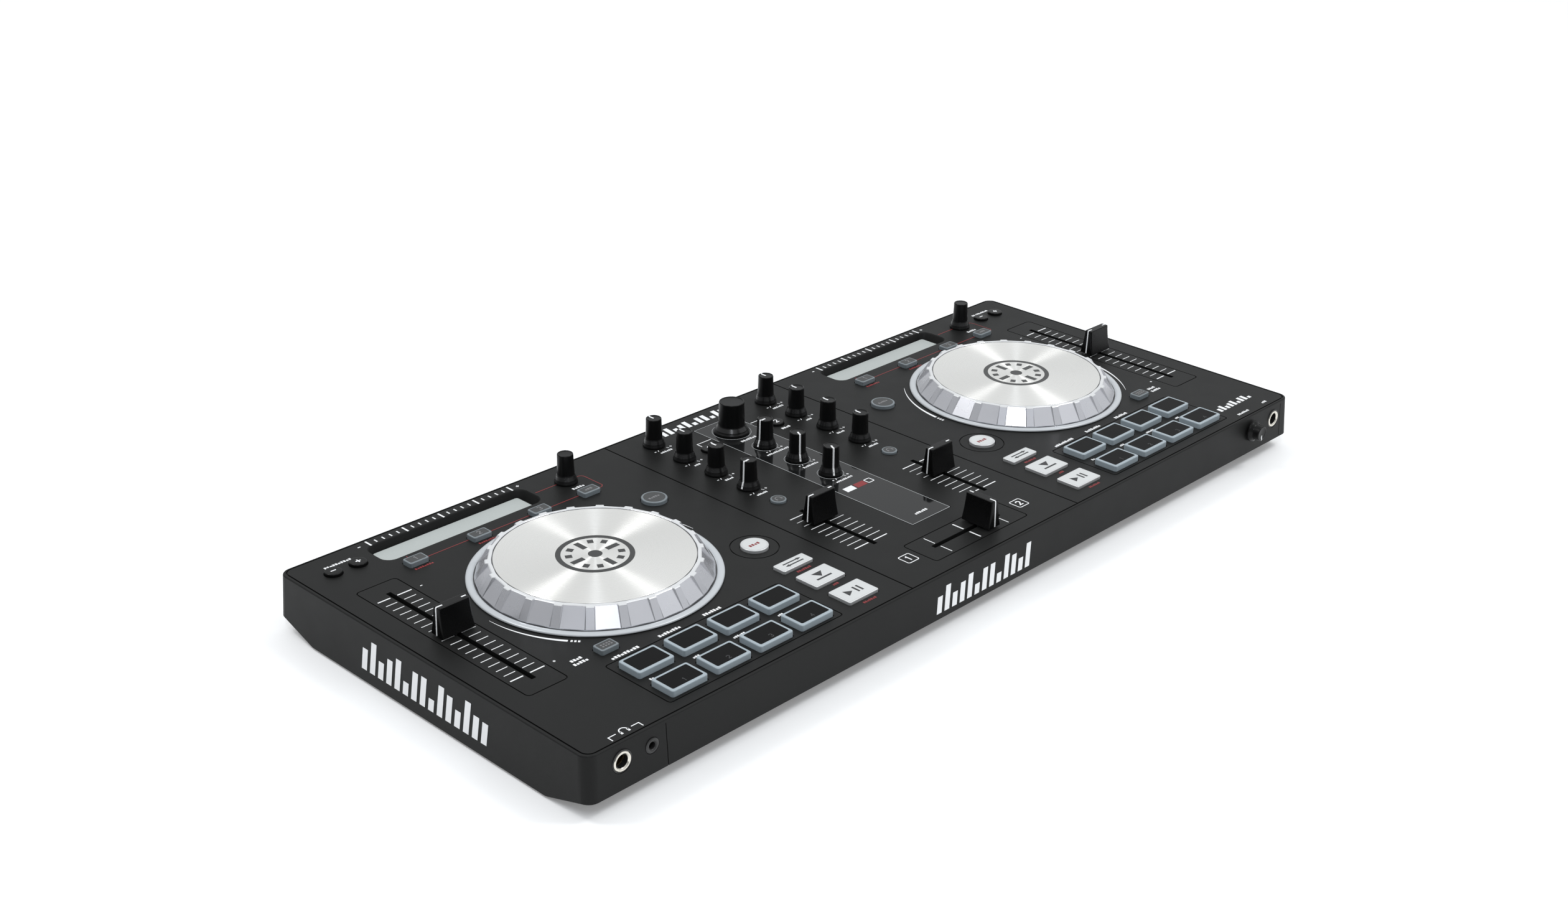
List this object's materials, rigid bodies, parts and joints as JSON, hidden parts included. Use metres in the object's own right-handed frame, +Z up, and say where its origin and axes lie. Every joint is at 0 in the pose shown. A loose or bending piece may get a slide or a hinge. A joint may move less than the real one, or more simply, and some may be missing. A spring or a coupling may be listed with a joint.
{
  "type": "dj controller",
  "caption": "Low two-deck DJ controller with jog wheels, pitch faders, pads and transport keys either side of a mixer with knobs, channel faders and a crossfader.",
  "frame": {"origin": "centre of the footprint, on the surface the feet stand on", "axes": "+X to the right along the width, +Y to the back, +Z up"},
  "size_m": [0.546, 0.236, 0.05],
  "materials": {
    "case_plastic": "fine satin texture",
    "gloss_black": "polished",
    "silver_key": "satin silver paint",
    "smoke_key": "translucent smoke grey",
    "pad_silicone": "translucent grey with dark tops",
    "jog_silver": "brushed disc over a silver ribbed side",
    "touch_strip": "frosted",
    "smoked_window": "polished",
    "circuit_board": "green solder mask",
    "socket_plastic": "moulded",
    "white_print": "screen print",
    "red_print": "screen print",
    "bright_metal": "polished",
    "brass": "turned",
    "foot_rubber": "matt",
    "screw_steel": "black oxide"
  },
  "bodies": {
    "case": {"top_case": "case_plastic", "bottom_case": "case_plastic", "main_board": "circuit_board", "mixer_window": "smoked_window", "touch_strip_left": "touch_strip", "touch_strip_right": "touch_strip", "headphone_jack_board": "socket_plastic", "mic_jack_board": "socket_plastic"},
    "jog_wheel_left": {"jog_wheel_left": "jog_silver"},
    "jog_wheel_right": {"jog_wheel_right": "jog_silver"},
    "pitch_fader_left": {"pitch_fader_left": "gloss_black"},
    "pitch_fader_right": {"pitch_fader_right": "gloss_black"},
    "channel_fader_1": {"channel_fader_1": "gloss_black"},
    "channel_fader_2": {"channel_fader_2": "gloss_black"},
    "crossfader": {"crossfader": "gloss_black"},
    "beats_knob_left": {"beats_knob_left": "gloss_black"},
    "beats_knob_right": {"beats_knob_right": "gloss_black"},
    "treble_knob_1": {"treble_knob_1": "gloss_black"},
    "mid_knob_1": {"mid_knob_1": "gloss_black"},
    "bass_knob_1": {"bass_knob_1": "gloss_black"},
    "filter_knob_1": {"filter_knob_1": "gloss_black"},
    "treble_knob_2": {"treble_knob_2": "gloss_black"},
    "mid_knob_2": {"mid_knob_2": "gloss_black"},
    "bass_knob_2": {"bass_knob_2": "gloss_black"},
    "filter_knob_2": {"filter_knob_2": "gloss_black"},
    "master_gain_knob": {"master_gain_knob": "gloss_black"},
    "cue_mix_knob": {"cue_mix_knob": "gloss_black"},
    "cue_gain_knob": {"cue_gain_knob": "gloss_black"},
    "browse_knob": {"browse_knob": "gloss_black"},
    "mic_gain_knob": {"mic_gain_knob": "gloss_black"},
    "fx1_button_left": {"fx1_button_left": "smoke_key"},
    "fx2_button_left": {"fx2_button_left": "smoke_key"},
    "fx3_button_left": {"fx3_button_left": "smoke_key"},
    "tap_button_left": {"tap_button_left": "smoke_key"},
    "pad_mode_button_left": {"pad_mode_button_left": "smoke_key"},
    "sync_button_left": {"sync_button_left": "silver_key"},
    "cue_button_left": {"cue_button_left": "silver_key"},
    "play_button_left": {"play_button_left": "silver_key"},
    "fx1_button_right": {"fx1_button_right": "smoke_key"},
    "fx2_button_right": {"fx2_button_right": "smoke_key"},
    "fx3_button_right": {"fx3_button_right": "smoke_key"},
    "tap_button_right": {"tap_button_right": "smoke_key"},
    "pad_mode_button_right": {"pad_mode_button_right": "smoke_key"},
    "sync_button_right": {"sync_button_right": "silver_key"},
    "cue_button_right": {"cue_button_right": "silver_key"},
    "play_button_right": {"play_button_right": "silver_key"},
    "shift_button_left": {"shift_button_left": "silver_key"},
    "scratch_button_left": {"scratch_button_left": "smoke_key"},
    "pitch_bend_minus_left": {"pitch_bend_minus_left": "gloss_black"},
    "pitch_bend_plus_left": {"pitch_bend_plus_left": "gloss_black"},
    "shift_button_right": {"shift_button_right": "silver_key"},
    "scratch_button_right": {"scratch_button_right": "smoke_key"},
    "pitch_bend_minus_right": {"pitch_bend_minus_right": "gloss_black"},
    "pitch_bend_plus_right": {"pitch_bend_plus_right": "gloss_black"},
    "load_button_1": {"load_button_1": "gloss_black"},
    "headphone_cue_1": {"headphone_cue_1": "smoke_key"},
    "load_button_2": {"load_button_2": "gloss_black"},
    "headphone_cue_2": {"headphone_cue_2": "smoke_key"},
    "pad_mat_left": {"pad_mat_left": "pad_silicone"},
    "pad_mat_right": {"pad_mat_right": "pad_silicone"}
  },
  "joints": [
    {"name": "jog_wheel_left_spin", "type": "hinge", "parent": "case", "child": "jog_wheel_left", "pos_m": [-0.163, 0.0095, 0.0315], "axis": [0, 0, 1], "continuous": true},
    {"name": "jog_wheel_right_spin", "type": "hinge", "parent": "case", "child": "jog_wheel_right", "pos_m": [0.163, 0.0095, 0.0315], "axis": [0, 0, 1], "continuous": true},
    {"name": "pitch_fader_left_slide", "type": "slide", "parent": "case", "child": "pitch_fader_left", "axis": [0, 1, 0], "range_m": [-0.0527, 0.0455]},
    {"name": "pitch_fader_right_slide", "type": "slide", "parent": "case", "child": "pitch_fader_right", "axis": [0, 1, 0], "range_m": [-0.0527, 0.0455]},
    {"name": "channel_fader_1_slide", "type": "slide", "parent": "case", "child": "channel_fader_1", "axis": [0, 1, 0], "range_m": [-0.03465, 0.00985]},
    {"name": "channel_fader_2_slide", "type": "slide", "parent": "case", "child": "channel_fader_2", "axis": [0, 1, 0], "range_m": [-0.02945, 0.01505]},
    {"name": "crossfader_slide", "type": "slide", "parent": "case", "child": "crossfader", "axis": [1, 0, 0], "range_m": [-0.0337, 0.0113]},
    {"name": "beats_knob_left_turn", "type": "hinge", "parent": "case", "child": "beats_knob_left", "pos_m": [-0.108, 0.0969, 0.0315], "axis": [0, 0, 1], "continuous": true},
    {"name": "beats_knob_right_turn", "type": "hinge", "parent": "case", "child": "beats_knob_right", "pos_m": [0.2174, 0.0969, 0.0315], "axis": [0, 0, 1], "continuous": true},
    {"name": "treble_knob_1_turn", "type": "hinge", "parent": "case", "child": "treble_knob_1", "pos_m": [-0.0436, 0.0987, 0.0315], "axis": [0, 0, 1], "range_deg": [-150, 150]},
    {"name": "mid_knob_1_turn", "type": "hinge", "parent": "case", "child": "mid_knob_1", "pos_m": [-0.0436, 0.0742, 0.0315], "axis": [0, 0, 1], "range_deg": [-150, 150]},
    {"name": "bass_knob_1_turn", "type": "hinge", "parent": "case", "child": "bass_knob_1", "pos_m": [-0.0436, 0.0496, 0.0315], "axis": [0, 0, 1], "range_deg": [-150, 150]},
    {"name": "filter_knob_1_turn", "type": "hinge", "parent": "case", "child": "filter_knob_1", "pos_m": [-0.0436, 0.0251, 0.0315], "axis": [0, 0, 1], "range_deg": [-250, 50]},
    {"name": "treble_knob_2_turn", "type": "hinge", "parent": "case", "child": "treble_knob_2", "pos_m": [0.0436, 0.0987, 0.0315], "axis": [0, 0, 1], "range_deg": [-150, 150]},
    {"name": "mid_knob_2_turn", "type": "hinge", "parent": "case", "child": "mid_knob_2", "pos_m": [0.0436, 0.0742, 0.0315], "axis": [0, 0, 1], "range_deg": [-150, 150]},
    {"name": "bass_knob_2_turn", "type": "hinge", "parent": "case", "child": "bass_knob_2", "pos_m": [0.0436, 0.0496, 0.0315], "axis": [0, 0, 1], "range_deg": [-150, 150]},
    {"name": "filter_knob_2_turn", "type": "hinge", "parent": "case", "child": "filter_knob_2", "pos_m": [0.0436, 0.0251, 0.0315], "axis": [0, 0, 1], "range_deg": [-150, 150]},
    {"name": "master_gain_knob_turn", "type": "hinge", "parent": "case", "child": "master_gain_knob", "pos_m": [0, 0.0561, 0.0315], "axis": [0, 0, 1], "range_deg": [-245, 55]},
    {"name": "cue_mix_knob_turn", "type": "hinge", "parent": "case", "child": "cue_mix_knob", "pos_m": [0, 0.0314, 0.0315], "axis": [0, 0, 1], "range_deg": [-300, 0]},
    {"name": "cue_gain_knob_turn", "type": "hinge", "parent": "case", "child": "cue_gain_knob", "pos_m": [0, 0.0067, 0.0315], "axis": [0, 0, 1], "range_deg": [-300, 0]},
    {"name": "browse_knob_turn", "type": "hinge", "parent": "case", "child": "browse_knob", "pos_m": [0, 0.0823, 0.0315], "axis": [0, 0, 1], "continuous": true},
    {"name": "mic_gain_knob_turn", "type": "hinge", "parent": "case", "child": "mic_gain_knob", "pos_m": [0.231, -0.1114, 0.0223], "axis": [0, -1, 0], "range_deg": [-300, 0]},
    {"name": "fx1_button_left_press", "type": "slide", "parent": "case", "child": "fx1_button_left", "axis": [0, 0, -1], "range_m": [0, 0.001], "stiffness_N_per_m": 300, "springref_m": -0.0015},
    {"name": "fx2_button_left_press", "type": "slide", "parent": "case", "child": "fx2_button_left", "axis": [0, 0, -1], "range_m": [0, 0.001], "stiffness_N_per_m": 300, "springref_m": -0.0015},
    {"name": "fx3_button_left_press", "type": "slide", "parent": "case", "child": "fx3_button_left", "axis": [0, 0, -1], "range_m": [0, 0.001], "stiffness_N_per_m": 300, "springref_m": -0.0015},
    {"name": "tap_button_left_press", "type": "slide", "parent": "case", "child": "tap_button_left", "axis": [0, 0, -1], "range_m": [0, 0.001], "stiffness_N_per_m": 300, "springref_m": -0.0015},
    {"name": "pad_mode_button_left_press", "type": "slide", "parent": "case", "child": "pad_mode_button_left", "axis": [0, 0, -1], "range_m": [0, 0.001], "stiffness_N_per_m": 300, "springref_m": -0.0015},
    {"name": "sync_button_left_press", "type": "slide", "parent": "case", "child": "sync_button_left", "axis": [0, 0, -1], "range_m": [0, 0.001], "stiffness_N_per_m": 300, "springref_m": -0.0015},
    {"name": "cue_button_left_press", "type": "slide", "parent": "case", "child": "cue_button_left", "axis": [0, 0, -1], "range_m": [0, 0.001], "stiffness_N_per_m": 300, "springref_m": -0.0015},
    {"name": "play_button_left_press", "type": "slide", "parent": "case", "child": "play_button_left", "axis": [0, 0, -1], "range_m": [0, 0.001], "stiffness_N_per_m": 300, "springref_m": -0.0015},
    {"name": "fx1_button_right_press", "type": "slide", "parent": "case", "child": "fx1_button_right", "axis": [0, 0, -1], "range_m": [0, 0.001], "stiffness_N_per_m": 300, "springref_m": -0.0015},
    {"name": "fx2_button_right_press", "type": "slide", "parent": "case", "child": "fx2_button_right", "axis": [0, 0, -1], "range_m": [0, 0.001], "stiffness_N_per_m": 300, "springref_m": -0.0015},
    {"name": "fx3_button_right_press", "type": "slide", "parent": "case", "child": "fx3_button_right", "axis": [0, 0, -1], "range_m": [0, 0.001], "stiffness_N_per_m": 300, "springref_m": -0.0015},
    {"name": "tap_button_right_press", "type": "slide", "parent": "case", "child": "tap_button_right", "axis": [0, 0, -1], "range_m": [0, 0.001], "stiffness_N_per_m": 300, "springref_m": -0.0015},
    {"name": "pad_mode_button_right_press", "type": "slide", "parent": "case", "child": "pad_mode_button_right", "axis": [0, 0, -1], "range_m": [0, 0.001], "stiffness_N_per_m": 300, "springref_m": -0.0015},
    {"name": "sync_button_right_press", "type": "slide", "parent": "case", "child": "sync_button_right", "axis": [0, 0, -1], "range_m": [0, 0.001], "stiffness_N_per_m": 300, "springref_m": -0.0015},
    {"name": "cue_button_right_press", "type": "slide", "parent": "case", "child": "cue_button_right", "axis": [0, 0, -1], "range_m": [0, 0.001], "stiffness_N_per_m": 300, "springref_m": -0.0015},
    {"name": "play_button_right_press", "type": "slide", "parent": "case", "child": "play_button_right", "axis": [0, 0, -1], "range_m": [0, 0.001], "stiffness_N_per_m": 300, "springref_m": -0.0015},
    {"name": "shift_button_left_press", "type": "slide", "parent": "case", "child": "shift_button_left", "axis": [0, 0, -1], "range_m": [0, 0.001], "stiffness_N_per_m": 300, "springref_m": -0.0015},
    {"name": "scratch_button_left_press", "type": "slide", "parent": "case", "child": "scratch_button_left", "axis": [0, 0, -1], "range_m": [0, 0.001], "stiffness_N_per_m": 300, "springref_m": -0.0015},
    {"name": "pitch_bend_minus_left_press", "type": "slide", "parent": "case", "child": "pitch_bend_minus_left", "axis": [0, 0, -1], "range_m": [0, 0.001], "stiffness_N_per_m": 300, "springref_m": -0.0015},
    {"name": "pitch_bend_plus_left_press", "type": "slide", "parent": "case", "child": "pitch_bend_plus_left", "axis": [0, 0, -1], "range_m": [0, 0.001], "stiffness_N_per_m": 300, "springref_m": -0.0015},
    {"name": "shift_button_right_press", "type": "slide", "parent": "case", "child": "shift_button_right", "axis": [0, 0, -1], "range_m": [0, 0.001], "stiffness_N_per_m": 300, "springref_m": -0.0015},
    {"name": "scratch_button_right_press", "type": "slide", "parent": "case", "child": "scratch_button_right", "axis": [0, 0, -1], "range_m": [0, 0.001], "stiffness_N_per_m": 300, "springref_m": -0.0015},
    {"name": "pitch_bend_minus_right_press", "type": "slide", "parent": "case", "child": "pitch_bend_minus_right", "axis": [0, 0, -1], "range_m": [0, 0.001], "stiffness_N_per_m": 300, "springref_m": -0.0015},
    {"name": "pitch_bend_plus_right_press", "type": "slide", "parent": "case", "child": "pitch_bend_plus_right", "axis": [0, 0, -1], "range_m": [0, 0.001], "stiffness_N_per_m": 300, "springref_m": -0.0015},
    {"name": "load_button_1_press", "type": "slide", "parent": "case", "child": "load_button_1", "axis": [0, 0, -1], "range_m": [0, 0.001], "stiffness_N_per_m": 300, "springref_m": -0.0015},
    {"name": "headphone_cue_1_press", "type": "slide", "parent": "case", "child": "headphone_cue_1", "axis": [0, 0, -1], "range_m": [0, 0.001], "stiffness_N_per_m": 300, "springref_m": -0.0015},
    {"name": "load_button_2_press", "type": "slide", "parent": "case", "child": "load_button_2", "axis": [0, 0, -1], "range_m": [0, 0.001], "stiffness_N_per_m": 300, "springref_m": -0.0015},
    {"name": "headphone_cue_2_press", "type": "slide", "parent": "case", "child": "headphone_cue_2", "axis": [0, 0, -1], "range_m": [0, 0.001], "stiffness_N_per_m": 300, "springref_m": -0.0015},
    {"name": "pad_mat_left_press", "type": "slide", "parent": "case", "child": "pad_mat_left", "axis": [0, 0, -1], "range_m": [0, 0.0008], "stiffness_N_per_m": 800, "springref_m": -0.0015},
    {"name": "pad_mat_right_press", "type": "slide", "parent": "case", "child": "pad_mat_right", "axis": [0, 0, -1], "range_m": [0, 0.0008], "stiffness_N_per_m": 800, "springref_m": -0.0015}
  ]
}
